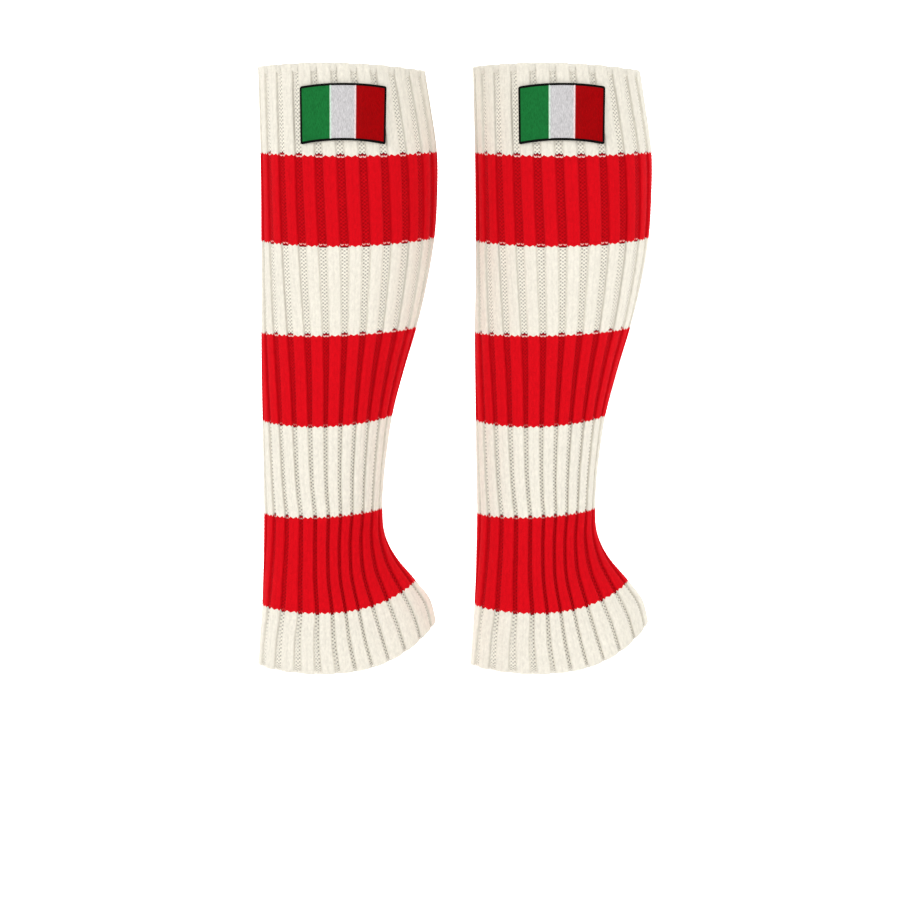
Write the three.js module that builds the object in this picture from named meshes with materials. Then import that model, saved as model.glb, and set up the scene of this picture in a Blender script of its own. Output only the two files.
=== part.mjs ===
// A pair of rib-knit leg warmers, filled out as they are when worn. Millimetres, +Z up.
// The origin is the centre of the left one's top opening. -X is the shin, +X is the calf and
// the heel, and -Y is the side that carries the flag patch.
import * as THREE from 'three';

// Driving sizes
const pairSpacing = 139.5; // from the left leg warmer to the right one, along X
const ribCount = 24; // ribs round each tube
const clothAtGroove = 1.5; // cloth left under the floor of a groove

// Steps of the surfaces
const outerRings = 21;
const innerRings = 11;
const innerPointsPerRib = 2;

// The patch: an embroidered flag with an overlocked edge, sewn on the crowns of the ribs
const patch = {
  gap: 0.36, // between the crowns and the back of the patch
  middleX: 2.5, // X of its middle
  wide: 56.2, // round the leg, half-way down
  narrowing: 1.2, // how much shorter the bottom edge is than the top edge
  topZ: -12.6, // height of the middle of its top edge
  tall: 36.5, // from the top edge to the bottom edge, in the middle
  topArch: 2.3, // how far the top edge falls from its middle to its corners
  bottomArch: 2.8,
  borderWidth: 1.6,
  edgeThick: 1.1,
  borderThick: 1.9,
  fieldThick: 1.3,
  stepsAcross: 9, // steps of the field between the borders
  stepsDown: 5,
};

// A rib across its pitch, from one groove floor to the next: place on the rib, share of its height
const ribProfile = [
  { place: 0, rise: 0 },
  { place: 0.16, rise: 0.78 },
  { place: 0.5, rise: 1 },
  { place: 0.84, rise: 0.78 },
  { place: 1, rise: 0 },
];

// Sections over the crowns of the ribs, from the top rim to the hem.
// frontX, frontZ  the point on the shin line
// backX, backZ    the point on the calf or heel line
// halfWidth       half of the width across the leg, in Y
// lift            how late the ring climbs from front to back, 1 for a straight slope
// sag             how far the sides hang below that slope
// egg             how much wider the back half is than the front half
// turn            turn of the ribs round the leg, in degrees
// spread          how far the ribs crowd to the front, in radians
// bunch           how far the ribs crowd to the sides, in radians
// groove          share of the pitch that is groove
// pinch           how much narrower the grooves get towards the heel, as a share
// height          height of a rib above its groove
const sectionColumns = [
  'frontX', 'frontZ', 'backX', 'backZ', 'halfWidth', 'lift', 'sag', 'egg',
  'turn', 'spread', 'bunch', 'groove', 'pinch', 'height',
];
const sectionRows = [
  [-54.2, 0, 54.4, -2.6, 47.5, 1, -3.6, 0.04, 6.8, -0.04, 0.05, 0.3, 0, 1.5],
  [-53.6, -27, 58.4, -27.5, 49.6, 1, -0.8, 0.05, 5.7, -0.025, 0.035, 0.36, 0, 1.4],
  [-52.8, -56.9, 62.4, -56.3, 51.6, 1, 1.8, 0.06, 4.7, -0.01, 0.02, 0.38, 0, 1.3],
  [-52.5, -84, 62.7, -82.5, 52.6, 1, 2.6, 0.06, 3.3, 0, 0.015, 0.41, 0, 1.2],
  [-52.5, -114, 61, -112, 51.2, 1, 3, 0.06, 1.7, -0.01, 0.015, 0.42, 0, 1.2],
  [-52.6, -144, 56.2, -141.5, 47.9, 1, 2, 0.06, -0.4, -0.02, 0.03, 0.4, 0, 1.2],
  [-52.8, -173.6, 49.3, -170.3, 42.4, 1, 1.6, 0.05, -3.4, -0.035, 0.045, 0.37, 0, 1.3],
  [-52.6, -201, 41.1, -198, 37.2, 1, 2.6, 0.03, -6.8, -0.04, 0.06, 0.33, 0, 1.5],
  [-52.2, -231.2, 33.3, -228, 33.2, 1, 3.4, 0, -11, -0.035, 0.06, 0.29, 0, 1.7],
  [-51.8, -262, 28.8, -259, 30.8, 1.3, 2.4, -0.04, -14.3, -0.025, 0.07, 0.26, 0, 1.9],
  [-51.6, -279, 27.3, -276, 29.8, 1.6, 1.6, -0.05, -16.4, -0.015, 0.085, 0.26, 0, 1.9],
  [-51.4, -292, 26.7, -288.9, 29.5, 2, 1, -0.06, -17.5, -0.015, 0.105, 0.28, 0, 1.9],
  [-51.6, -313, 28, -306, 29.8, 2.6, 1.4, -0.08, -14.9, -0.015, 0.14, 0.3, 0, 1.9],
  [-52.1, -333, 35.2, -321.5, 31.2, 3.3, 2.2, -0.1, -9.3, -0.025, 0.17, 0.29, 0, 1.8],
  [-52.9, -352.2, 48, -336.8, 34, 4, 2.6, -0.12, -4, -0.04, 0.18, 0.27, 0.2, 1.6],
  [-54.4, -372, 57.8, -349.4, 39.4, 4, 1.4, -0.12, -0.6, -0.06, 0.165, 0.32, 0.5, 1.4],
  [-55.9, -391.6, 61.7, -363.9, 44, 4.4, 1.6, -0.1, 0.3, -0.125, 0.14, 0.38, 0.6, 1.3],
];
const lastLevel = sectionRows.length - 1;

// One column of the table at any level, on a smooth curve through the rows
function columnAt(name, level) {
  const column = sectionColumns.indexOf(name);
  const row = Math.min(Math.floor(level), lastLevel - 1);
  const t = level - row;
  const value = (index) => sectionRows[Math.max(0, Math.min(lastLevel, index))][column];
  const [a, b, c, d] = [value(row - 1), value(row), value(row + 1), value(row + 2)];
  return b + 0.5 * t * (c - a + t * (2 * a - 5 * b + 4 * c - d + t * (3 * (b - c) + d - a)));
}

// The section at a level, with every column by its name
function sectionAt(level) {
  return Object.fromEntries(sectionColumns.map((name) => [name, columnAt(name, level)]));
}

// Angle from the heel line at which a share of the way round the ribs lies
function ribAngle(section, share) {
  const even = 2 * Math.PI * share;
  const turned = even + THREE.MathUtils.degToRad(section.turn);
  return turned + section.spread * Math.sin(even) + section.bunch * Math.sin(2 * even);
}

// A point of the surface that touches the crowns of all ribs
function crownPoint(section, angle) {
  const along = Math.cos(angle);
  const across = Math.sin(angle);
  const fromFront = (1 + along) / 2;
  const climb = Math.pow(fromFront, section.lift);
  return new THREE.Vector3(
    THREE.MathUtils.lerp(section.frontX, section.backX, fromFront),
    -section.halfWidth * across * (1 + section.egg * along),
    THREE.MathUtils.lerp(section.frontZ, section.backZ, climb) - section.sag * across * across,
  );
}

// A point at a distance outwards from the crown surface, along its normal
function offsetPoint(level, angle, distance) {
  const step = 0.01;
  const above = sectionAt(Math.max(0, level - step));
  const below = sectionAt(Math.min(lastLevel, level + step));
  const down = crownPoint(below, angle).sub(crownPoint(above, angle));
  const here = sectionAt(level);
  const round = crownPoint(here, angle + step).sub(crownPoint(here, angle - step));
  const normal = new THREE.Vector3().crossVectors(round, down).normalize();
  return crownPoint(here, angle).addScaledVector(normal, distance);
}

// Share of the pitch that is groove at an angle: whole at the shin, pinched from there back
function grooveShare(section, angle) {
  const fromFront = (1 + Math.cos(angle)) / 2;
  const reach = THREE.MathUtils.clamp((fromFront - 0.3) / 0.35, 0, 1);
  return section.groove * (1 - section.pinch * reach);
}

// The ring of the outside at a level: each rib's profile between its two groove floors
function outerRing(level) {
  const section = sectionAt(level);
  const points = [];
  for (let rib = 0; rib < ribCount; rib += 1) {
    const groove = grooveShare(section, ribAngle(section, (rib + 0.5) / ribCount));
    for (const { place, rise } of ribProfile) {
      const inPitch = groove / 2 + place * (1 - groove);
      const angle = ribAngle(section, (rib + inPitch) / ribCount);
      points.push(offsetPoint(level, angle, section.height * (rise - 1)));
    }
  }
  return points;
}

// The ring of the plain inside at a level
function innerRing(level) {
  const section = sectionAt(level);
  const count = ribCount * innerPointsPerRib;
  const depth = section.height + clothAtGroove;
  return Array.from({ length: count }, (_, index) => {
    const angle = ribAngle(section, (index + 0.5) / count);
    return offsetPoint(level, angle, -depth);
  });
}

// Two triangles for each cell between neighbouring rings that have as many points
function wallFaces(rings, ringSize, firstPoint, outwards) {
  const faces = [];
  for (let ring = 0; ring < rings - 1; ring += 1) {
    for (let index = 0; index < ringSize; index += 1) {
      const next = (index + 1) % ringSize;
      const a = firstPoint + ring * ringSize + index;
      const b = firstPoint + ring * ringSize + next;
      const c = b + ringSize;
      const d = a + ringSize;
      faces.push(...(outwards ? [a, b, c, a, c, d] : [a, c, b, a, d, c]));
    }
  }
  return faces;
}

// A band of triangles between an outer and an inner ring with different numbers of points
function rimFaces(outerFirst, outerCount, innerFirst, innerCount, upwards) {
  const faces = [];
  let outer = 0;
  let inner = 0;
  while (outer < outerCount || inner < innerCount) {
    const outerNow = outerFirst + (outer % outerCount);
    const innerNow = innerFirst + (inner % innerCount);
    const stepOuter = (outer + 1) / outerCount <= (inner + 1) / innerCount;
    outer += stepOuter ? 1 : 0;
    inner += stepOuter ? 0 : 1;
    const next = stepOuter ? outerFirst + (outer % outerCount) : innerFirst + (inner % innerCount);
    faces.push(...(upwards ? [outerNow, innerNow, next] : [innerNow, outerNow, next]));
  }
  return faces;
}

// A closed solid from its points and faces
function solidGeometry(points, faces) {
  const geometry = new THREE.BufferGeometry();
  const values = points.flatMap((point) => point.toArray());
  geometry.setAttribute('position', new THREE.Float32BufferAttribute(values, 3));
  geometry.setIndex(faces);
  geometry.computeVertexNormals();
  return geometry;
}

// The knitted tube: ribbed outside, plain inside, open at the top rim and at the hem
function tubeGeometry() {
  const levels = (count) => Array.from({ length: count }, (_, i) => (i / (count - 1)) * lastLevel);
  const outside = levels(outerRings).flatMap(outerRing);
  const inside = levels(innerRings).flatMap(innerRing);
  const outerCount = ribCount * ribProfile.length;
  const innerCount = ribCount * innerPointsPerRib;
  const innerFirst = outside.length;
  const outerLast = outerCount * (outerRings - 1);
  const innerLast = innerFirst + innerCount * (innerRings - 1);
  const faces = [
    ...wallFaces(outerRings, outerCount, 0, true),
    ...wallFaces(innerRings, innerCount, innerFirst, false),
    ...rimFaces(0, outerCount, innerFirst, innerCount, true),
    ...rimFaces(outerLast, outerCount, innerLast, innerCount, false),
  ];
  return solidGeometry([...outside, ...inside], faces);
}

// The level at which the crown surface reaches a height on the line at an angle
function levelAtHeight(height, angle) {
  let high = 0;
  let low = lastLevel;
  for (let halving = 0; halving < 30; halving += 1) {
    const middle = (high + low) / 2;
    if (crownPoint(sectionAt(middle), angle).z > height) high = middle;
    else low = middle;
  }
  return (high + low) / 2;
}

// The level and the angle of the crown surface at a place on the side seen from -Y
function sideAt(x, height) {
  let angle = Math.PI / 2;
  let level = 0;
  for (let round = 0; round < 6; round += 1) {
    level = levelAtHeight(height, angle);
    const { frontX, backX } = sectionAt(level);
    angle = Math.acos((2 * x - frontX - backX) / (backX - frontX));
  }
  return { level, angle };
}

// Places across a patch side, from 0 to 1: edge, crest and foot of each border, then even steps
function patchPlaces(side, steps) {
  const border = patch.borderWidth / side;
  const field = Array.from({ length: steps - 1 }, (_, i) => {
    return border + ((i + 1) / steps) * (1 - 2 * border);
  });
  return [0, border / 2, border, ...field, 1 - border, 1 - border / 2, 1];
}

// Thickness of the patch at a number of points from its nearest edge
function patchThickness(pointsFromEdge) {
  return [patch.edgeThick, patch.borderThick, patch.fieldThick][Math.min(2, pointsFromEdge)];
}

// The flag patch: a thin plate that follows the crown surface, with its border raised.
// u runs across it from the shin edge to the calf edge, and v down it.
function patchGeometry() {
  const { level } = sideAt(patch.middleX, patch.topZ - patch.tall / 2);
  const bendRadius = (columnAt('backX', level) - columnAt('frontX', level)) / 2;
  const across = patchPlaces(patch.wide, patch.stepsAcross);
  const down = patchPlaces(patch.tall, patch.stepsDown);
  const place = (u, v, distance) => {
    const side = 2 * u - 1;
    const wide = patch.wide - patch.narrowing * (v - 0.5);
    const x = patch.middleX + bendRadius * Math.sin((side * wide) / 2 / bendRadius);
    const arch = THREE.MathUtils.lerp(patch.topArch, patch.bottomArch, v);
    const here = sideAt(x, patch.topZ - v * patch.tall - arch * side * side);
    return offsetPoint(here.level, here.angle, distance);
  };
  const front = [];
  const back = [];
  down.forEach((v, row) => across.forEach((u, column) => {
    const fromSide = Math.min(column, across.length - 1 - column);
    const fromEnd = Math.min(row, down.length - 1 - row);
    front.push(place(u, v, patch.gap + patchThickness(Math.min(fromSide, fromEnd))));
    back.push(place(u, v, patch.gap));
  }));
  return solidGeometry([...front, ...back], plateFaces(across.length, down.length));
}

// Faces of a plate whose front grid is followed by its back grid
function plateFaces(columns, rows) {
  const faces = [];
  const count = columns * rows;
  for (let row = 0; row < rows - 1; row += 1) {
    for (let column = 0; column < columns - 1; column += 1) {
      const a = row * columns + column;
      const [b, c, d] = [a + 1, a + columns + 1, a + columns];
      faces.push(a, c, b, a, d, c);
      faces.push(a + count, b + count, c + count, a + count, c + count, d + count);
    }
  }
  const loop = [];
  for (let column = 0; column < columns - 1; column += 1) loop.push(column);
  for (let row = 0; row < rows - 1; row += 1) loop.push(row * columns + columns - 1);
  for (let column = columns - 1; column > 0; column -= 1) loop.push((rows - 1) * columns + column);
  for (let row = rows - 1; row > 0; row -= 1) loop.push(row * columns);
  loop.forEach((now, index) => {
    const next = loop[(index + 1) % loop.length];
    faces.push(now, next, next + count, now, next + count, now + count);
  });
  return faces;
}

// Acrylic rib knit: the cream yarn of the first stripe
function knitMaterial() {
  return new THREE.MeshStandardMaterial({ color: '#f3eddd', roughness: 0.95, metalness: 0 });
}

// Embroidery thread: the pale middle stripe of the flag
function patchMaterial() {
  return new THREE.MeshStandardMaterial({ color: '#cfccd0', roughness: 0.6, metalness: 0 });
}

// A named mesh
function piece(name, geometry, material) {
  const mesh = new THREE.Mesh(geometry, material);
  mesh.name = name;
  return mesh;
}

const legWarmers = new THREE.Group();
['left', 'right'].forEach((side, index) => {
  const one = new THREE.Group();
  one.add(piece(`${side}_tube`, tubeGeometry(), knitMaterial()));
  one.add(piece(`${side}_patch`, patchGeometry(), patchMaterial()));
  one.position.x = index * pairSpacing;
  legWarmers.add(one);
});

export default legWarmers;
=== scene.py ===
import math
import bpy
import numpy as np
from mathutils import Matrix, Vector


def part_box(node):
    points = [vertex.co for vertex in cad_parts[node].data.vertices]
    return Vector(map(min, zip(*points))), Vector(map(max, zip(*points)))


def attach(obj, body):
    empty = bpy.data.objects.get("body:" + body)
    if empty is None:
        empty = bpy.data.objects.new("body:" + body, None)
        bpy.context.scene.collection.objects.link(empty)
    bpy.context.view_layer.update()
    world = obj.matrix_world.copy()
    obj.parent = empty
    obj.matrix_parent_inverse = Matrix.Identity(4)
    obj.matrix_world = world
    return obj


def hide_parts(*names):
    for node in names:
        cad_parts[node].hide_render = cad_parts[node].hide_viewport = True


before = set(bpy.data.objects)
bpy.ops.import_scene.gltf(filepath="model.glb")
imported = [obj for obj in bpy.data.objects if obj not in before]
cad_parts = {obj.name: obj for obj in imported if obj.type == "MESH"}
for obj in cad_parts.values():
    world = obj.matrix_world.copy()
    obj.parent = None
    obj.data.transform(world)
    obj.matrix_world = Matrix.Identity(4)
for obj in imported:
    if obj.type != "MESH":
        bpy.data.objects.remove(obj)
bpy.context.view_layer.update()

mm = 0.001
sides = ("left", "right")

# The knitted tubes

tube = {
    "ribs": 24,  # two raised knit wales and two sunk purl wales each
    "course": 2.4 * mm,  # height of one course of stitches
    "columnsPerWale": 4,
    "rowsPerCourse": 3,
    "knitLean": 0.5,  # how far a knit stitch falls from its legs to the creases, in courses
    "purlLean": 0.55,
    "knitRelief": 0.3 * mm,
    "purlRelief": 0.7 * mm,
    "grooveDepth": 1.4 * mm,  # even all the way down
    "insideAtRib": 2.3 * mm,  # depth of the inner face behind a rib's crown
    "insideAtGroove": 2.9 * mm,  # more than the rib's height in the table
    "edgeWobble": 0.02,  # how far a rib's edge goes in and out with each course, in pitches
    "lip": 1.1 * mm,  # radius of the rounded edge at the rim and at the hem
    "lipRows": 4,
    "rimTuck": 1.05,  # how far the edge stitches are drawn in for the lip, in courses
    "hemTuck": 0.1,
    "grooveTuck": 0.35,  # how much further the grooves are drawn in
    "rimBand": 1.2,  # courses at the rim in which the grooves are nearly closed
    "hemBand": 0.8,
    "flatWale": 3.125 * mm,  # width of a wale in the tube laid flat, off the leg
}
walesPerRib = 4
wales = tube["ribs"] * walesPerRib
columns = wales * tube["columnsPerWale"]

# Sections over the crowns of the ribs, from the top rim to the hem, in millimetres. front and back
# are the points on the shin line and on the heel line. lift tells how late a ring climbs from front
# to back, sag how far its sides hang, egg how much wider its back half is. turn (degrees), spread
# and bunch (radians) shift the ribs round the leg. groove is a groove's share of the pitch, and
# pinch how much narrower the grooves get towards the heel.
sectionColumns = (
    "frontX", "frontZ", "backX", "backZ", "halfWidth", "lift", "sag", "egg",
    "turn", "spread", "bunch", "groove", "pinch", "height",
)
sectionRows = np.array([
    [-54.2, 0, 54.4, -2.6, 47.5, 1, -3.6, 0.04, 6.8, -0.04, 0.05, 0.3, 0, 1.5],
    [-53.6, -27, 58.4, -27.5, 49.6, 1, -0.8, 0.05, 5.7, -0.025, 0.035, 0.36, 0, 1.4],
    [-52.8, -56.9, 62.4, -56.3, 51.6, 1, 1.8, 0.06, 4.7, -0.01, 0.02, 0.38, 0, 1.3],
    [-52.5, -84, 62.7, -82.5, 52.6, 1, 2.6, 0.06, 3.3, 0, 0.015, 0.41, 0, 1.2],
    [-52.5, -114, 61, -112, 51.2, 1, 3, 0.06, 1.7, -0.01, 0.015, 0.42, 0, 1.2],
    [-52.6, -144, 56.2, -141.5, 47.9, 1, 2, 0.06, -0.4, -0.02, 0.03, 0.4, 0, 1.2],
    [-52.8, -173.6, 49.3, -170.3, 42.4, 1, 1.6, 0.05, -3.4, -0.035, 0.045, 0.37, 0, 1.3],
    [-52.6, -201, 41.1, -198, 37.2, 1, 2.6, 0.03, -6.8, -0.04, 0.06, 0.33, 0, 1.5],
    [-52.2, -231.2, 33.3, -228, 33.2, 1, 3.4, 0, -11, -0.035, 0.06, 0.29, 0, 1.7],
    [-51.8, -262, 28.8, -259, 30.8, 1.3, 2.4, -0.04, -14.3, -0.025, 0.07, 0.26, 0, 1.9],
    [-51.6, -279, 27.3, -276, 29.8, 1.6, 1.6, -0.05, -16.4, -0.015, 0.085, 0.26, 0, 1.9],
    [-51.4, -292, 26.7, -288.9, 29.5, 2, 1, -0.06, -17.5, -0.015, 0.105, 0.28, 0, 1.9],
    [-51.6, -313, 28, -306, 29.8, 2.6, 1.4, -0.08, -14.9, -0.015, 0.14, 0.3, 0, 1.9],
    [-52.1, -333, 35.2, -321.5, 31.2, 3.3, 2.2, -0.1, -9.3, -0.025, 0.17, 0.29, 0, 1.8],
    [-52.9, -352.2, 48, -336.8, 34, 4, 2.6, -0.12, -4, -0.04, 0.18, 0.27, 0.2, 1.6],
    [-54.4, -372, 57.8, -349.4, 39.4, 4, 1.4, -0.12, -0.6, -0.06, 0.165, 0.32, 0.5, 1.4],
    [-55.9, -391.6, 61.7, -363.9, 44, 4.4, 1.6, -0.1, 0.3, -0.125, 0.14, 0.38, 0.6, 1.3],
])
lastLevel = len(sectionRows) - 1

# Stripes from the top: number, yarn, and the table's rows where they start and end
stripes = (
    (1, "cream", 0, 2), (2, "red", 2, 4), (3, "cream", 4, 6), (4, "red", 6, 8),
    (5, "cream", 8, 11), (6, "red", 11, 14), (7, "cream", 14, 16),
)


def sectionAt(level):
    # Every column of the table at any level, on a Catmull-Rom curve through its rows
    level = np.clip(np.asarray(level, float), 0, lastLevel)
    row = np.minimum(np.floor(level).astype(int), lastLevel - 1)
    t = (level - row)[..., None]
    a, b, c, d = (sectionRows[np.clip(row + k, 0, lastLevel)] for k in (-1, 0, 1, 2))
    values = b + 0.5 * t * (c - a + t * (2 * a - 5 * b + 4 * c - d + t * (3 * (b - c) + d - a)))
    return dict(zip(sectionColumns, np.moveaxis(values, -1, 0)))


def crownPoint(level, angle):
    # A tilted oval: X runs with the cosine of the angle from the heel line, Y with its sine, and Z
    # climbs from the front to the back and hangs at the sides
    s = sectionAt(level)
    along, across = np.cos(angle), np.sin(angle)
    fromFront = (1 + along) / 2
    x = s["frontX"] + (s["backX"] - s["frontX"]) * fromFront
    y = -s["halfWidth"] * across * (1 + s["egg"] * along)
    z = s["frontZ"] + (s["backZ"] - s["frontZ"]) * fromFront ** s["lift"] - s["sag"] * across ** 2
    return np.stack(np.broadcast_arrays(x, y, z), -1) * mm


def unit(vectors):
    return vectors / np.linalg.norm(vectors, axis=-1, keepdims=True)


def downTheLeg(level, angle):
    # The direction from the point a hundredth of a level above to the one as far below
    above, below = np.clip(level - 0.01, 0, lastLevel), np.clip(level + 0.01, 0, lastLevel)
    return unit(crownPoint(below, angle) - crownPoint(above, angle))


def offsetPoint(level, angle, distance):
    # A point off the crown surface along its normal, the cross product of round and down
    around = crownPoint(level, angle + 0.01) - crownPoint(level, angle - 0.01)
    normal = unit(np.cross(around, downTheLeg(level, angle)))
    return crownPoint(level, angle) + normal * np.asarray(distance)[..., None]


def ribAngle(level, share):
    # The angle of a share of the way round, shifted by the turn, the spread and the bunch
    s = sectionAt(level)
    even = 2 * math.pi * share
    return even + np.radians(s["turn"]) + s["spread"] * np.sin(even) + s["bunch"] * np.sin(2 * even)


def courseScale():
    # Courses down to each of many levels, by the mean length down the shin, the heel and the sides,
    # with a whole number of courses in each stripe
    levels = np.linspace(0, lastLevel, 801)
    lines = crownPoint(levels[:, None], np.radians([0, 90, 180, 270]))
    steps = np.linalg.norm(np.diff(lines, axis=0), axis=-1).mean(axis=1)
    length = np.concatenate([[0], np.cumsum(steps)])
    courses = np.zeros_like(length)
    ends = [0]
    for number, yarn, first, last in stripes:
        top, bottom = np.interp([first, last], levels, length)
        count = round((bottom - top) / tube["course"])
        inside = (levels >= first) & (levels <= last)
        courses[inside] = ends[-1] + count * (length[inside] - top) / (bottom - top)
        ends.append(ends[-1] + count)
    return levels, courses, ends


levelScale, courseOfLevel, stripeEnds = courseScale()
allCourses = stripeEnds[-1]


def levelOfCourse(course):
    return np.interp(course, courseOfLevel, levelScale)


# Each column of the outer face: its rib, its wale in the rib and its place across that wale. Ribs
# are counted from the middle of a groove, so their wales are purl, knit, knit, purl.
column = np.arange(columns)
columnWale = column // tube["columnsPerWale"]
columnPlace = column % tube["columnsPerWale"] / tube["columnsPerWale"]
isKnit = (columnWale % walesPerRib == 1) | (columnWale % walesPerRib == 2)
purlStagger = (1 - np.abs(2 * columnPlace - 1)) / tube["rowsPerCourse"] / 2  # puts points on the bumps


# Columns crowd to the rib's flanks, by the cube of their place, so that the flanks are steep
crowded = np.where(columnWale % walesPerRib == 1, columnPlace ** 3, columnPlace)
crowded = np.where(columnWale % walesPerRib == 2, 1 - (1 - columnPlace) ** 3, crowded)
isShoulder = np.isin(column % (walesPerRib * tube["columnsPerWale"]), (6, 10))
ribSide = np.where(columnPlace > 0, 0, np.array([0, -1, 0, 1])[columnWale % walesPerRib])


def grooveShare(level):
    # The groove's share of the pitch at each column's rib: whole at the shin, pinched from there back
    s = sectionAt(level[:, None])
    middle = (columnWale // walesPerRib + 0.5) / tube["ribs"]
    fromFront = (1 + np.cos(ribAngle(level[:, None], middle))) / 2
    return s["groove"] * (1 - s["pinch"] * np.clip((fromFront - 0.3) / 0.35, 0, 1))


def columnShare(level):
    # Share of the way round at which each column lies: the purl wales fill the groove's share of
    # the pitch and the knit wales the rest
    groove = grooveShare(level)
    wale = columnWale % walesPerRib
    start = np.choose(wale, [0 * groove, groove / 2, 0 * groove + 0.5, 1 - groove / 2])
    inPitch = start + crowded * np.where(isKnit, 0.5 - groove / 2, groove / 2)
    return (columnWale // walesPerRib + inPitch) / tube["ribs"], inPitch, groove


def ribAngles(course):
    level = levelOfCourse(course)
    return ribAngle(level[:, None], columnShare(level)[0])


def ribRise(inPitch, groove):
    # A full rib: one less the twelfth power of the distance from its middle, to the power 0.45
    across = np.clip((inPitch - groove / 2) / (1 - groove), 0, 1)
    return (1 - np.abs(2 * across - 1) ** 12) ** 0.45


def edgeShare(course, reach):
    # One at the rim, less one at the hem, and fading evenly to nothing within the reach in courses
    return np.clip(1 - course / reach, 0, 1) - np.clip(1 - (allCourses - course) / reach, 0, 1)


def grooveClosed(course):
    # How far the grooves are closed: nearly whole down to the rim's band and opening over as much
    # again below, and half closed at the hem
    atRim = 0.97 * np.clip(2 - course / tube["rimBand"], 0, 1)
    return atRim + 0.5 * np.clip(1 - (allCourses - course) / tube["hemBand"], 0, 1)


def edgeTuck(course):
    # How far a course is drawn in, down from the rim and up from the hem, fading over three courses
    share = edgeShare(course, 3)
    return np.where(share > 0, tube["rimTuck"], tube["hemTuck"]) * share


def stitchHeight(course):
    # Knit: two legs a wale, high where the sine of twice the place is, creased once a course.
    # Purl: bumps in a chequer, from the cosine across times the cosine down.
    phase = course[:, None] + np.where(isKnit, 0, purlStagger)
    legs = 0.25 + 0.75 * np.abs(np.sin(2 * math.pi * columnPlace))
    crease = np.abs(np.sin(math.pi * (phase + 0.1))) ** 0.8
    bump = 0.5 - 0.5 * np.cos(2 * math.pi * columnPlace) * np.cos(2 * math.pi * phase)
    return np.where(isKnit, legs * crease, bump)


def outerFace(course):
    # Rows of points over the ribs and stitches. A row falls from the two legs of each knit wale to
    # the creases between, is staggered across each purl wale, and is drawn in near rim and hem.
    level = levelOfCourse(course)
    share, inPitch, groove = columnShare(level)
    rise = ribRise(inPitch, groove)
    here = course[:, None]
    plain = 1 - np.abs(edgeShare(here, 2))
    fall = np.where(isKnit, tube["knitLean"] * np.abs(np.cos(2 * math.pi * columnPlace)), tube["purlLean"])
    fall = plain * (fall + np.where(isKnit, 0, purlStagger))
    tuck = edgeTuck(here) + tube["grooveTuck"] * (1 - rise) * edgeShare(here, 3)
    leaning = levelOfCourse(here + fall + tuck)
    relief = np.where(isKnit, tube["knitRelief"], tube["purlRelief"]) * (1 - stitchHeight(course))
    groovesIn = tube["grooveDepth"] * (1 - rise) * (1 - grooveClosed(here))
    depth = groovesIn + relief * (1 - np.abs(edgeShare(here, 0.7)))
    wobble = tube["edgeWobble"] * ribSide * np.cos(2 * math.pi * here) / tube["ribs"]
    return offsetPoint(leaning, ribAngle(leaning, share + wobble), -depth)


def innerFace(course):
    # One point a wale and a course, deeper behind the grooves, where the inside has its own ribs
    level = levelOfCourse(course)
    waleStart = slice(None, None, tube["columnsPerWale"])
    share = columnShare(level)[0][:, waleStart]
    behindGroove = np.array([1, 0.6, 0, 0.6])[columnWale[waleStart] % walesPerRib]
    atGroove = sectionAt(level)["height"][:, None] * mm + tube["insideAtGroove"]
    behindGroove = behindGroove * (1 - grooveClosed(course))[:, None]
    depth = tube["insideAtRib"] + (atGroove - tube["insideAtRib"]) * behindGroove
    drawn = levelOfCourse((course + edgeTuck(course))[:, None] + 0 * share)
    return offsetPoint(drawn, ribAngle(drawn, share), -depth)


def gridFaces(rows, ring, first, outwards):
    # Four corners for each cell of a closed grid of rings, and each corner's column and row
    r, c = np.meshgrid(np.arange(rows - 1), np.arange(ring), indexing="ij")
    cornerColumn = c.reshape(-1, 1) + np.array([0, 1, 1, 0])
    cornerRow = r.reshape(-1, 1) + np.array([0, 0, 1, 1])
    faces = first + cornerRow * ring + cornerColumn % ring
    places = np.stack([cornerColumn / ring, cornerRow / (rows - 1)], -1)
    return (faces, places) if outwards else (faces[:, ::-1], places[:, ::-1])


def wallFaces(outerFirst, innerFirst, upwards):
    # Five triangles a wale between four steps of an outer ring and one step of an inner one, and
    # each corner's share of the way round and of the way in
    wale = np.arange(wales)[:, None, None]
    fans = np.array([[1, 0, 5], [2, 1, 5], [2, 5, 6], [3, 2, 6], [4, 3, 6]])
    onInner = np.broadcast_to(fans > 4, (wales, 5, 3))
    outerColumn = wale * 4 + np.where(fans > 4, (fans - 5) * 4, fans)
    innerColumn = outerColumn // 4
    outer, inner = outerFirst + outerColumn % columns, innerFirst + innerColumn % wales
    faces = np.where(onInner, inner, outer).reshape(-1, 3)
    places = np.stack([outerColumn / columns, onInner * 1.0], -1).reshape(-1, 3, 2)
    return (faces, places) if upwards else (faces[:, ::-1], places[:, ::-1])


def lipRings(edge, inner, away):
    # A half round from the outer edge to the inner one: their mean, plus half of their difference
    # by the cosine of the turn, plus the lip's radius along the leg by its sine
    toNext = (column % 4 / 4)[:, None]
    innerWide = np.repeat(inner, 4, 0) * (1 - toNext)
    innerWide = innerWide + np.repeat(np.roll(inner, -1, 0), 4, 0) * toNext
    turns = np.linspace(0, math.pi, tube["lipRows"] + 2)[1:-1, None, None]
    loops = 0.8 + 0.2 * np.abs(np.sin(2 * math.pi * columnPlace))[:, None]
    ring = (edge + innerWide) / 2 + (edge - innerWide) / 2 * np.cos(turns)
    return ring + away * loops * tube["lip"] * np.sin(turns)


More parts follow.
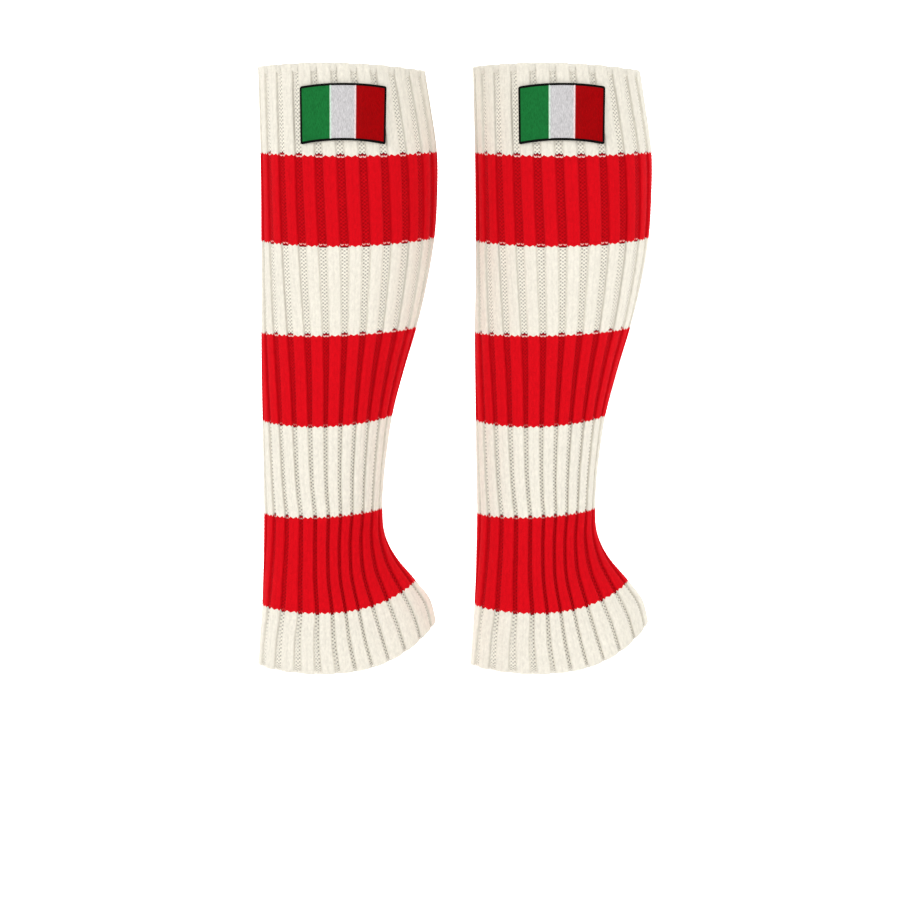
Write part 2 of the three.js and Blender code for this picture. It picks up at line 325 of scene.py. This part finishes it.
def colourFromHex(text):
    # sRGB to linear
    values = [int(text[i:i + 2], 16) / 255 for i in (1, 3, 5)]
    linear = [v / 12.92 if v <= 0.04045 else ((v + 0.055) / 1.055) ** 2.4 for v in values]
    return (*linear, 1.0)


def meshObject(name, points, faceGroups):
    # A smooth mesh from rows of points and arrays of faces
    corners = np.concatenate([faces.ravel() for faces in faceGroups]).astype(np.int32)
    sizes = np.concatenate([np.full(len(faces), faces.shape[1]) for faces in faceGroups])
    starts = np.concatenate([[0], np.cumsum(sizes)[:-1]]).astype(np.int32)
    mesh = bpy.data.meshes.new(name)
    mesh.vertices.add(len(points))
    mesh.vertices.foreach_set("co", points.astype(np.float32).ravel())
    mesh.loops.add(len(corners))
    mesh.loops.foreach_set("vertex_index", corners)
    mesh.polygons.add(len(sizes))
    mesh.polygons.foreach_set("loop_start", starts)
    mesh.update(calc_edges=True)
    mesh.polygons.foreach_set("use_smooth", np.ones(len(sizes), bool))
    piece = bpy.data.objects.new(name, mesh)
    bpy.context.scene.collection.objects.link(piece)
    return piece


def addUv(piece, name, places):
    layer = piece.data.uv_layers.new(name=name)
    layer.data.foreach_set("uv", places.astype(np.float32).ravel())


def addAttribute(piece, name, domain, values):
    layer = piece.data.attributes.new(name, "FLOAT", domain)
    layer.data.foreach_set("value", values.astype(np.float32).ravel())


def sharpenEdges(piece, rings, outerCount):
    # Edges that run along one of the rings, each a first point and a number of points, and those
    # that run down a shoulder column among the first, outer points
    ends = np.empty(len(piece.data.edges) * 2, np.int32)
    piece.data.edges.foreach_get("vertices", ends)
    label = np.zeros(len(piece.data.vertices), int)
    for number, (first, count) in enumerate(rings, 1):
        label[first:first + count] = number
    a, b = ends.reshape(-1, 2).T
    alongRing = (label[a] == label[b]) & (label[a] > 0)
    downColumn = (np.abs(a - b) == columns) & (np.maximum(a, b) < outerCount) & isShoulder[a % columns]
    layer = piece.data.attributes.new("sharp_edge", "BOOLEAN", "EDGE")
    layer.data.foreach_set("value", alongRing | downColumn)


def addNode(tree, kind, inputs=None, **settings):
    # A node with its settings, and for each input a value of its own or the output that feeds it
    node = tree.nodes.new("ShaderNode" + kind)
    for name, value in settings.items():
        setattr(node, name, value)
    for socket, value in (inputs or {}).items():
        if isinstance(value, bpy.types.Node):
            value = value.outputs[0]
        if isinstance(value, bpy.types.NodeSocket):
            tree.links.new(value, node.inputs[socket])
        else:
            node.inputs[socket].default_value = value
    return node


def newMaterial(name):
    material = bpy.data.materials.new(name)
    material.use_nodes = True
    tree = material.node_tree
    return material, tree, tree.nodes["Principled BSDF"]


def brushedAcrylicYarn(name, yarn):
    # Soft-spun acrylic knitting yarn, brushed in the spinning: matt and full, with a pale halo of
    # fibre ends. Its colour carries painted shade, darkest in the gaps between the purl bumps, with painted
    # highlight on the bumps, and the knit wales are smooth.
    material, tree, shader = newMaterial(name)
    place = addNode(tree, "TexCoord").outputs["Object"]
    stitches = addNode(tree, "SeparateXYZ", {0: addNode(tree, "UVMap", uv_map="stitches")})
    wale, course = stitches.outputs[0], stitches.outputs[1]
    closed = addNode(tree, "Attribute", attribute_name="grooveClosed").outputs["Fac"]
    narrow = addNode(tree, "Attribute", attribute_name="grooveNarrow").outputs["Fac"]

    # Distance from a rib's middle in wales: 0 there, 1 at the rib's edge, 2 in the groove's middle
    inRib = addNode(tree, "Math", {0: wale, 1: 4.0}, operation="MODULO")
    aside = addNode(tree, "Math", {0: inRib, 1: 2.0}, operation="SUBTRACT")
    fromRib = addNode(tree, "Math", {0: aside}, operation="ABSOLUTE")
    inGroove = addNode(tree, "MapRange", {0: fromRib, 1: 0.97, 2: 1.12}, interpolation_type="SMOOTHSTEP")
    # Painted shade on a rib's edge
    flankShade = addNode(tree, "MapRange", {0: fromRib, 1: 0.75, 2: 1.0, 4: yarn["paintedFlankShade"]})

    # The purl wales' chequer of painted shade and painted highlight: darker gaps where the waves round and down
    # the tube agree, lighter bumps between.
    # In narrow grooves each course has one gap, on either side in turn.
    waleTurn = addNode(tree, "Math", {0: wale, 1: 2 * math.pi}, operation="MULTIPLY")
    courseTurn = addNode(tree, "Math", {0: course, 1: 2 * math.pi}, operation="MULTIPLY")
    across = addNode(tree, "Math", {0: waleTurn}, operation="COSINE")
    down = addNode(tree, "Math", {0: courseTurn}, operation="COSINE")
    halfTurn = addNode(tree, "Math", {0: wale, 1: math.pi}, operation="MULTIPLY")
    side = addNode(tree, "Math", {0: halfTurn}, operation="SINE")
    wave = addNode(tree, "Mix", {0: narrow, 2: across, 3: side})
    chequer = addNode(tree, "Math", {0: wave, 1: down}, operation="MULTIPLY")
    inset = addNode(tree, "MapRange", {0: fromRib, 1: 1.0, 2: 1.15}, interpolation_type="SMOOTHSTEP")
    gap = addNode(tree, "MapRange", {0: chequer, 1: -0.1, 2: 0.85, 4: yarn["paintedGapShade"]},
                  interpolation_type="SMOOTHSTEP")
    bump = addNode(tree, "MapRange", {0: chequer, 1: 0.0, 2: -0.9, 4: -yarn["paintedBumpHighlight"]},
                   interpolation_type="SMOOTHSTEP")
    both = addNode(tree, "Math", {0: gap, 1: bump}, operation="ADD")
    stronger = addNode(tree, "Math", {0: narrow, 1: 0.15, 2: 1.0}, operation="MULTIPLY_ADD")
    relief = addNode(tree, "Math", {0: both, 1: stronger}, operation="MULTIPLY")
    paintedLattice = addNode(tree, "Math", {0: relief, 1: inset, 2: yarn["groove"]}, operation="MULTIPLY_ADD")
    # Painted shade and highlight of the groove, faded out where the grooves close
    opened = addNode(tree, "MapRange", {0: closed, 1: 0.0, 2: 0.8, 3: 1.0, 4: 0.0})
    groove = addNode(tree, "Math", {0: paintedLattice, 1: opened}, operation="MULTIPLY")
    inWale = addNode(tree, "Math", {0: waleTurn}, operation="SINE")
    leg = addNode(tree, "Math", {0: inWale}, operation="ABSOLUTE")
    # Painted shade where a knit wale's legs meet, at its middle and its edges
    knit = addNode(tree, "MapRange", {0: leg, 1: 0.0, 2: 0.6, 3: yarn["knit"], 4: 0.0})
    ribShade = addNode(tree, "Math", {0: knit, 1: flankShade}, operation="ADD")
    shade = addNode(tree, "Mix", {0: inGroove, 2: ribShade, 3: groove})
    drawnOut = addNode(tree, "Mapping", {"Vector": place, "Scale": (700, 700, 330)})  # 1.4 by 3 mm
    tuft = addNode(tree, "TexNoise", {"Vector": drawnOut, "Scale": 1.0, "Detail": 3, "Roughness": 0.65})
    mottle = addNode(tree, "MapRange", {0: tuft, 3: -0.5 * yarn["mottle"], 4: 0.5 * yarn["mottle"]})
    mottled = addNode(tree, "Math", {0: shade, 1: mottle}, operation="ADD")
    # The yarn's colour with the painted shade and highlight mixed in
    yarnWithPaintedLight = addNode(tree, "Mix", {
        0: mottled, 6: colourFromHex(yarn["colour"]), 7: colourFromHex(yarn["shade"]),
    }, data_type="RGBA", clamp_factor=False).outputs[2]

    # The other yarn at the change of colour shows in the grooves of the last course only. The dark red bands are
    # red yarn with painted shade.
    purlOnly = addNode(tree, "MapRange", {0: fromRib, 1: 1.0, 2: 1.15}, interpolation_type="SMOOTHSTEP")
    arc = addNode(tree, "MapRange", {0: across, 1: 0.2, 2: 0.85, 3: 1.0, 4: 0.0})
    wide = addNode(tree, "Math", {0: 1.0, 1: narrow}, operation="SUBTRACT")
    loop = addNode(tree, "Math", {0: arc, 1: wide}, operation="MULTIPLY")
    arched = addNode(tree, "Math", {0: across, 1: 0.1, 2: course}, operation="MULTIPLY_ADD")
    for mark in yarn["marks"]:
        level = addNode(tree, "Math", {0: arched, 1: mark["at"], 2: mark["half"]}, operation="COMPARE")
        drawn = addNode(tree, "Math", {0: level, 1: purlOnly}, operation="MULTIPLY")
        if mark["loops"]:
            drawn = addNode(tree, "Math", {0: drawn, 1: loop}, operation="MULTIPLY")
        yarnWithPaintedLight = addNode(tree, "Mix", {0: drawn, 6: yarnWithPaintedLight, 7: colourFromHex(mark["colour"])},
                      data_type="RGBA").outputs[2]

    # Plies twisted along each leg of a stitch, and fibres about 0.5 mm apart
    fromLeg = addNode(tree, "Math", {0: wale, 1: 0.5}, operation="PINGPONG")
    slant = addNode(tree, "Math", {0: fromLeg, 1: 5.0, 2: course}, operation="MULTIPLY_ADD")
    turns = addNode(tree, "Math", {0: slant, 1: 4 * math.pi}, operation="MULTIPLY")
    plies = addNode(tree, "Math", {0: turns}, operation="SINE")
    fuzz = addNode(tree, "TexNoise", {"Vector": place, "Scale": 1800, "Detail": 2})
    twisted = addNode(tree, "Bump", {"Height": plies, "Strength": 0.4, "Distance": 0.1 * mm})
    fuzzy = addNode(tree, "Bump", {"Height": fuzz, "Normal": twisted, "Strength": 0.5, "Distance": 0.2 * mm})
    tree.links.new(yarnWithPaintedLight, shader.inputs["Base Color"])
    tree.links.new(fuzzy.outputs[0], shader.inputs["Normal"])
    shader.inputs["Roughness"].default_value = 0.95
    shader.inputs["Specular IOR Level"].default_value = 0.03
    shader.inputs["Sheen Weight"].default_value = 0.45
    shader.inputs["Sheen Roughness"].default_value = 0.35
    shader.inputs["Sheen Tint"].default_value = colourFromHex(yarn["halo"])
    return material


yarnLooks = {
    # The five values after the halo are painted shade and painted highlight: how much darker the rib's edge, a
    # knit wale's middle, the groove and the gaps between its bumps are than the yarn where shade falls, and how
    # much lighter the bumps are where light catches them.
    # marks: bands across the grooves, in courses from the stripe's end, whole or broken into loops.
    "cream": {
        "colour": "#E1DCCF", "shade": "#6F685C", "halo": "#FFFDF6", "paintedFlankShade": 0.0, "knit": 0.06,
        "groove": -0.08, "paintedGapShade": 0.68, "paintedBumpHighlight": 0.16, "mottle": 0.55,
        "marks": [
            {"at": -0.4, "half": 0.3, "colour": "#B3121D", "loops": False},
            # a dark red band: red yarn with painted shade
            {"at": -0.86, "half": 0.17, "colour": "#6A1520", "loops": False},
            {"at": -0.22, "half": 0.18, "colour": "#F3C6C0", "loops": True},
        ],
    },
    "red": {
        "colour": "#CC0B17", "shade": "#7A0003", "halo": "#FF4A55", "paintedFlankShade": 0.0, "knit": 0.08,
        "groove": 0.27, "paintedGapShade": 0.36, "paintedBumpHighlight": 0.22, "mottle": 0.55,
        "marks": [
            # a dark red band: the red yarn with painted shade
            {"at": -0.16, "half": 0.16, "colour": "#6E111B", "loops": False},
            {"at": -0.8, "half": 0.15, "colour": "#F0B8B2", "loops": True},
        ],
    },
}
yarns = {key: brushedAcrylicYarn(key + "AcrylicYarn", look) for key, look in yarnLooks.items()}


def stripePiece(side, offset, number, yarn, first, last):
    # One stripe of a tube: its ribbed outer face, its inner face and a wall or a lip at each end
    perCourse = tube["rowsPerCourse"]
    course = np.arange((last - first) * perCourse + 1) / perCourse + first
    outer, inner = outerFace(course), innerFace(np.arange(first, last + 1.0))
    atTop, atHem = number == 1, number == len(stripes)
    downwards = downTheLeg(levelOfCourse(course[[0, -1], None]), ribAngles(course[[0, -1]]))
    if atTop:
        outer = np.concatenate([lipRings(outer[0], inner[0], -downwards[0])[::-1], outer])
    if atHem:
        outer = np.concatenate([outer, lipRings(outer[-1], inner[-1], downwards[1])])
    rows, innerRows = len(outer), len(inner)
    innerFirst = rows * columns
    outerFaces, outerPlaces = gridFaces(rows, columns, 0, True)
    innerFaces, innerPlaces = gridFaces(innerRows, wales, innerFirst, False)
    topFaces, topPlaces = wallFaces(0, innerFirst, True)
    innerLast = innerFirst + (innerRows - 1) * wales
    hemFaces, hemPlaces = wallFaces((rows - 1) * columns, innerLast, False)
    points = np.concatenate([outer.reshape(-1, 3), inner.reshape(-1, 3)]) + [offset, 0, 0]
    piece = meshObject(f"{side}.stripe{number}.{yarn}", points, [outerFaces, innerFaces, topFaces, hemFaces])
    # Bake layout: the outer face lowest, then the two end walls, then the inner face
    layout = [
        outerPlaces * [1, 0.7], innerPlaces * [1, 0.2] + [0, 0.8],
        topPlaces * [1, 0.03] + [0, 0.71], hemPlaces * [1, 0.03] + [0, 0.75],
    ]
    addUv(piece, "OFBake", np.concatenate([part.reshape(-1, 2) for part in layout]))
    # Stitch map: wales round, and courses down to the stripe's end, past which the hem stays clear
    # of the dashes. A lip keeps the value between a gap and a bump.
    lip = tube["lipRows"] / perCourse
    end = last - first + 4 * atHem
    down = outerPlaces[..., 1:] * (rows - 1) / perCourse - lip * atTop
    down = np.where(down < 0, -0.25, np.where(down > last - first, last - first + 0.25, down))
    stitchMap = [
        np.concatenate([outerPlaces[..., :1] * wales, down - end], -1),
        innerPlaces * [wales, last - first] + [2, -end],
        topPlaces * [wales, 0] - [0, end], hemPlaces * [wales, 0] - [0, end],
    ]
    addUv(piece, "stitches", np.concatenate([part.reshape(-1, 2) for part in stitchMap]))
    perRow = np.concatenate([[0] * (tube["lipRows"] * atTop), course,
                             [allCourses] * (tube["lipRows"] * atHem)])
    inside = np.zeros(innerRows * wales)
    shut = np.repeat(grooveClosed(perRow), columns)
    narrow = np.clip((0.36 - grooveShare(levelOfCourse(perRow))) / 0.1, 0, 1).ravel()
    addAttribute(piece, "grooveClosed", "POINT", np.concatenate([shut, inside]))
    addAttribute(piece, "grooveNarrow", "POINT", np.concatenate([narrow, inside]))
    rings = [] if atTop else [(0, columns), (innerFirst, wales)]
    rings += [] if atHem else [((rows - 1) * columns, columns), (innerLast, wales)]
    sharpenEdges(piece, rings, innerFirst)
    piece.data.materials.append(yarns[yarn])
    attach(piece, "root")
    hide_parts(f"{side}_tube")
    return piece


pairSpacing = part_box("right_tube")[0][0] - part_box("left_tube")[0][0]
for side, offset in zip(sides, (0, pairSpacing)):
    for number, yarn, first, last in stripes:
        stripePiece(side, offset, number, yarn, *stripeEnds[number - 1:number + 1])
    print("knitted the", side, "tube:", allCourses, "courses of", wales, "wales")

# The flag patches

patch = {
    "gap": 0.36 * mm,  # between the crowns of the ribs and its back
    "middleX": 2.5 * mm,
    "wide": 56.2 * mm,  # round the leg, half-way down
    "narrowing": 1.2 * mm,  # how much shorter the bottom edge is than the top edge
    "topZ": -12.6 * mm,
    "tall": 36.5 * mm,
    "topArch": 2.3 * mm,  # how far the top edge falls from its middle to its corners
    "bottomArch": 2.8 * mm,
    "fieldThick": 1.2 * mm,
    "fieldSteps": (150, 60),
    "ridge": 0.3 * mm,  # height of the satin columns beside the middle stripe
    "ridgeWide": 0.9 * mm,
    "colourEdges": (0.3635, 0.639),  # shares of the width
    "borderWide": 1.7 * mm,
    "borderThick": 1.9 * mm,
    "cornerRadius": 0.5 * mm,
    "wrap": 0.8 * mm,  # pitch of the overlock thread, drawn twice as coarse as it is
    "wrapSteps": 4,
    "borderRound": 12,  # points round the border's section
}


def sideAt(x, height):
    # Level and angle on the side seen from -Y, taking turns: the level by halving until the height
    # fits, then the angle whose cosine fits X
    angle = np.full(x.shape, math.pi / 2)
    for turn in range(5):
        above, below = np.zeros(x.shape), np.full(x.shape, float(lastLevel))
        for halving in range(26):
            middle = (above + below) / 2
            higher = crownPoint(middle, angle)[..., 2] > height
            above, below = np.where(higher, middle, above), np.where(higher, below, middle)
        s = sectionAt(middle)
        cosine = (2 * x / mm - s["frontX"] - s["backX"]) / (s["backX"] - s["frontX"])
        angle = np.arccos(np.clip(cosine, -1, 1))
    return middle, angle


patchLevel = sideAt(np.array(patch["middleX"]), np.array(patch["topZ"] - patch["tall"] / 2))[0]
patchBend = (sectionAt(patchLevel)["backX"] - sectionAt(patchLevel)["frontX"]) / 2 * mm


def onLeg(across, down, distance):
    # A point of the patch from the distance across from its middle, down from its top edge and off
    # the ribs: X by the sine of the bend, Z less the arch of that height
    side = across / (patch["wide"] / 2)
    v = down / patch["tall"]
    narrowed = across * (1 - patch["narrowing"] / patch["wide"] * (v - 0.5))
    x = patch["middleX"] + patchBend * np.sin(narrowed / patchBend)
    arch = patch["topArch"] + (patch["bottomArch"] - patch["topArch"]) * v
    level, angle = sideAt(x, patch["topZ"] - down - arch * side ** 2)
    return offsetPoint(level, angle, distance)


flagLooks = {
    "green": "#186C32", "white": "#C2C0C1", "red": "#980004",
    # the satin columns' thread colours, lightened with painted highlight
    "paintedRidgeHighlights": ("#CFEBD6", "#F6DCDC"),  # the satin columns beside the green and beside the red
    "border": ("#020202", "#0A0909"),
}


def embroideryThread(name):
    # Rayon embroidery thread in close straight stitches: a silky streaky gloss along each thread,
    # with the ends of the stitches staggered from thread to thread
    material, tree, shader = newMaterial(name)
    flat = addNode(tree, "SeparateXYZ", {0: addNode(tree, "UVMap", uv_map="OFBake")})
    u = flat.outputs[0]
    place = addNode(tree, "TexCoord").outputs["Object"]
    stretched = addNode(tree, "Mapping", {"Vector": place, "Scale": (2400, 2400, 500)})
    streak = addNode(tree, "TexNoise", {"Vector": stretched, "Scale": 1.0, "Detail": 2})
    colour = colourFromHex(flagLooks["green"])
    for edge, past in zip(patch["colourEdges"], ("white", "red")):
        isPast = addNode(tree, "Math", {0: u, 1: edge}, operation="GREATER_THAN")
        colour = addNode(tree, "Mix", {0: isPast, 6: colour, 7: colourFromHex(flagLooks[past])},
                         data_type="RGBA").outputs[2]
    isRight = addNode(tree, "Math", {0: u, 1: 0.5}, operation="GREATER_THAN")
    ridgeHighlightColours = [colourFromHex(text) for text in flagLooks["paintedRidgeHighlights"]]
    ridgeHighlightColour = addNode(tree, "Mix", {0: isRight, 6: ridgeHighlightColours[0], 7: ridgeHighlightColours[1]},
                          data_type="RGBA").outputs[2]
    ridge = addNode(tree, "Attribute", attribute_name="satinRidge").outputs["Fac"]
    # Painted highlight on the satin columns beside the middle stripe
    highlightedRidges = addNode(tree, "Mix", {0: ridge, 6: colour, 7: ridgeHighlightColour}, data_type="RGBA").outputs[2]
    brightness = addNode(tree, "MapRange", {0: streak, 1: 0.3, 2: 0.7, 3: 0.76, 4: 1.24})
    streaked = addNode(tree, "VectorMath", {0: highlightedRidges, "Scale": brightness}, operation="SCALE")
    acrossThreads = addNode(tree, "Math", {0: u, 1: patch["wide"] / (0.5 * mm) * 2 * math.pi},
                            operation="MULTIPLY")  # threads 0.5 mm apart
    thread = addNode(tree, "Math", {0: acrossThreads}, operation="SINE")
    rounded = addNode(tree, "Bump", {"Height": thread, "Strength": 0.5, "Distance": 0.15 * mm})
    fine = addNode(tree, "Bump", {"Height": streak, "Normal": rounded, "Strength": 0.4,
                                  "Distance": 0.12 * mm})
    tree.links.new(streaked.outputs[0], shader.inputs["Base Color"])
    tree.links.new(fine.outputs[0], shader.inputs["Normal"])
    shader.inputs["Roughness"].default_value = 0.55
    shader.inputs["Specular IOR Level"].default_value = 0.03
    return material


def overlockThread(name):
    # Black polyester overlock thread wrapped tightly over the edge: dull black with a faint gloss
    material, tree, shader = newMaterial(name)
    place = addNode(tree, "TexCoord").outputs["Object"]
    grain = addNode(tree, "TexNoise", {"Vector": place, "Scale": 2200, "Detail": 2})
    dark, light = (colourFromHex(text) for text in flagLooks["border"])
    colour = addNode(tree, "Mix", {0: grain, 6: dark, 7: light}, data_type="RGBA")
    fine = addNode(tree, "Bump", {"Height": grain, "Strength": 0.5, "Distance": 0.15 * mm})
    tree.links.new(colour.outputs[2], shader.inputs["Base Color"])
    tree.links.new(fine.outputs[0], shader.inputs["Normal"])
    shader.inputs["Roughness"].default_value = 0.7
    shader.inputs["Specular IOR Level"].default_value = 0.05
    return material


threads = {"flag": embroideryThread("rayonEmbroidery"), "border": overlockThread("blackOverlockThread")}


def fieldPiece(side, offset):
    # The embroidered field: a plate whose front swells a little, with a satin column each side of
    # the middle stripe, and whose back is plain
    across, down = patch["fieldSteps"]
    inset = patch["borderWide"] * 0.45
    u, v = np.meshgrid(np.linspace(0, 1, across + 1), np.linspace(0, 1, down + 1))
    x = (u - 0.5) * (patch["wide"] - 2 * inset)
    z = inset + v * (patch["tall"] - 2 * inset)
    edges = [(edge - 0.5) * patch["wide"] for edge in patch["colourEdges"]]
    ridge = sum(np.exp(-((x - edge) / (patch["ridgeWide"] / 2)) ** 4) for edge in edges)
    swell = 0.12 * mm * (1 - np.abs(2 * u - 1) ** 6) * (1 - np.abs(2 * v - 1) ** 6)
    front = onLeg(x, z, patch["gap"] + patch["fieldThick"] + swell + patch["ridge"] * ridge)
    back = onLeg(x, z, np.full(x.shape, patch["gap"]))
    width, count = across + 1, x.size
    r, c = np.meshgrid(np.arange(down), np.arange(across), indexing="ij")
    cells = (r * width + c).reshape(-1, 1) + np.array([0, width, width + 1, 1])
    rim = np.concatenate([
        np.arange(across), np.arange(down) * width + across,
        down * width + np.arange(across, 0, -1), np.arange(down, 0, -1) * width,
    ])
    following = np.roll(rim, -1)
    edge = np.stack([rim, following, following + count, rim + count], -1)
    points = np.concatenate([front.reshape(-1, 3), back.reshape(-1, 3)]) + [offset, 0, 0]
    faces = np.concatenate([cells, cells[:, ::-1] + count, edge])
    piece = meshObject(f"{side}.patchField", points, [faces])
    share = np.stack([x / patch["wide"] + 0.5, z / patch["tall"]], -1).reshape(-1, 2)
    both = np.concatenate([share * [1, 0.49], share * [1, 0.49] + [0, 0.5]])
    places = both[faces]
    places[len(cells) * 2:, 2:] = places[len(cells) * 2:, 1::-1] + [0, 0.002]
    addUv(piece, "OFBake", places)
    addAttribute(piece, "satinRidge", "POINT", np.concatenate([ridge.ravel(), 0 * ridge.ravel()]).clip(0, 1))
    piece.data.materials.append(threads["flag"])
    return piece


def borderPath(steps):
    # A rounded rectangle at even steps round the patch's edge, in millimetres across and down, with
    # the direction outwards from it: straight sides, then quarter circles by angle
    inset = patch["borderWide"] / 2
    radius = patch["cornerRadius"]
    halfWide, halfTall = patch["wide"] / 2 - inset - radius, patch["tall"] / 2 - inset - radius
    corners = np.array([[1, -1], [1, 1], [-1, 1], [-1, -1]]) * [halfWide, halfTall]
    quarter = math.pi / 2 * radius
    lengths = np.array([quarter, 2 * halfTall, quarter, 2 * halfWide] * 2)
    starts = np.concatenate([[0], np.cumsum(lengths)])
    s = np.linspace(0, starts[-1], steps, endpoint=False)
    part = np.searchsorted(starts, s, "right") - 1
    along = (s - starts[part]) / lengths[part]
    corner = part // 2
    turn = (corner - 1 + np.where(part % 2 == 0, along, 1)) * math.pi / 2
    out = np.stack([np.cos(turn), np.sin(turn)], -1)
    onStraight = np.where(part % 2 == 1, along, 0)[:, None]
    centre = corners[corner] + (corners[(corner + 1) % 4] - corners[corner]) * onStraight
    return centre + out * radius + [0, patch["tall"] / 2], out, starts[-1]


def borderPiece(side, offset):
    # The overlocked edge: a flattened round carried along the edge, swollen once for each wrap of
    # the thread by the sine of the way along
    length = borderPath(8)[2]
    wraps = round(length / patch["wrap"])
    steps = wraps * patch["wrapSteps"]
    path, out, length = borderPath(steps)
    swell = 0.9 + 0.1 * np.abs(np.sin(math.pi * np.arange(steps) / patch["wrapSteps"] + 0.3))[:, None]
    turn = np.linspace(0, 2 * math.pi, patch["borderRound"], endpoint=False)
    wide = patch["borderWide"] / 2 * np.cos(turn) * swell
    tall = (patch["borderThick"] / 2) * (1 + np.sin(turn) * swell)
    flat = path[:, None] + out[:, None] * wide[..., None]
    points = onLeg(flat[..., 0], flat[..., 1], patch["gap"] * 0.5 + tall).reshape(-1, 3) + [offset, 0, 0]
    ring = patch["borderRound"]
    s, t = np.meshgrid(np.arange(steps), np.arange(ring), indexing="ij")
    cornerS = s.reshape(-1, 1) + np.array([0, 0, 1, 1])
    cornerT = t.reshape(-1, 1) + np.array([0, 1, 1, 0])
    faces = cornerS % steps * ring + cornerT % ring
    piece = meshObject(f"{side}.patchBorder", points, [faces])
    addUv(piece, "OFBake", np.stack([cornerS / steps, cornerT / ring], -1))
    piece.data.materials.append(threads["border"])
    return piece


for side, offset in zip(sides, (0, pairSpacing)):
    field, border = fieldPiece(side, offset), borderPiece(side, offset)
    for piece in (field, border):
        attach(piece, "root")
        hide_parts(f"{side}_patch")
    print("sewed on the", side, "patch")

# The set: a white sweep, soft light from the front left, and the camera level with the calves

stage = {
    "floorZ": -0.545,
    "frontY": -5.0,
    "wallY": 3.0,
    "bend": 0.7,  # radius of the sweep from the floor to the wall
    "halfWidth": 4.0,
    "top": 3.0,
}


def sweepPiece():
    # A floor, a quarter round and a wall, as one profile carried along X
    turn = np.linspace(0, math.pi / 2, 24)
    y = np.concatenate([[stage["frontY"]], stage["wallY"] - stage["bend"] * (1 - np.sin(turn)), [stage["wallY"]]])
    z = np.concatenate([[0], stage["bend"] * (1 - np.cos(turn)), [stage["top"]]]) + stage["floorZ"]
    x = np.array([-1, 1]) * stage["halfWidth"]
    points = np.stack([np.repeat(x, len(y)), np.tile(y, 2), np.tile(z, 2)], -1)
    a = np.arange(len(y) - 1)[:, None]
    faces = a + np.array([0, len(y), len(y) + 1, 1])
    return meshObject("sweep", points, [faces])


sweep = sweepPiece()
paper, paperTree, paperShader = newMaterial("whitePaper")  # matt background paper
paperShader.inputs["Base Color"].default_value = colourFromHex("#FAFAFA")
paperShader.inputs["Roughness"].default_value = 1.0
paperShader.inputs["Specular IOR Level"].default_value = 0.0
sweep.data.materials.append(paper)


def softLight(name, place, target, width, height, power, colour="#FFFFFF"):
    light = bpy.data.lights.new(name, "AREA")
    light.shape, light.size, light.size_y = "RECTANGLE", width, height
    light.energy, light.color = power, colourFromHex(colour)[:3]
    lamp = bpy.data.objects.new(name, light)
    direction = np.array(target) - np.array(place)
    lamp.location = place
    across = math.atan2(direction[1], direction[0]) - math.pi / 2
    lamp.rotation_euler = (math.acos(-direction[2] / np.linalg.norm(direction)), 0, across)
    bpy.context.scene.collection.objects.link(lamp)


middle = (0.07, 0.0, -0.2)
softLight("keyLight", (-1.85, -1.5, 0.6), middle, 1.0, 1.4, 25)
softLight("rightLight", (1.95, -1.4, 0.4), middle, 1.2, 1.6, 21)
softLight("topLight", (0.1, -0.4, 1.9), middle, 1.6, 1.2, 6)
softLight("wallLight", (0.0, 1.5, 1.9), (0.0, 3.0, -0.2), 2.6, 0.8, 130)

world = bpy.data.worlds.new("studio")
world.use_nodes = True
world.node_tree.nodes["Background"].inputs["Color"].default_value = (1, 1, 1, 1)
world.node_tree.nodes["Background"].inputs["Strength"].default_value = 0.6
bpy.context.scene.world = world
bpy.context.scene.view_settings.view_transform = "Standard"

view = {"distance": 2.5, "aim": (0.0707, 0.0, -0.2515), "down": 5.0, "lens": 152.7}


def photoCamera():
    camera = bpy.data.cameras.new("camera")
    camera.lens, camera.sensor_width, camera.sensor_fit = view["lens"], 36.0, "HORIZONTAL"
    camera.clip_end = 20
    down = math.radians(view["down"])
    piece = bpy.data.objects.new("camera", camera)
    back = np.array([0, -math.cos(down), math.sin(down)]) * view["distance"]
    piece.location = np.array(view["aim"]) + back
    piece.rotation_euler = (math.pi / 2 - down, 0, 0)
    bpy.context.scene.collection.objects.link(piece)
    return piece


bpy.context.scene.camera = photoCamera()
print("set the lights and the camera")
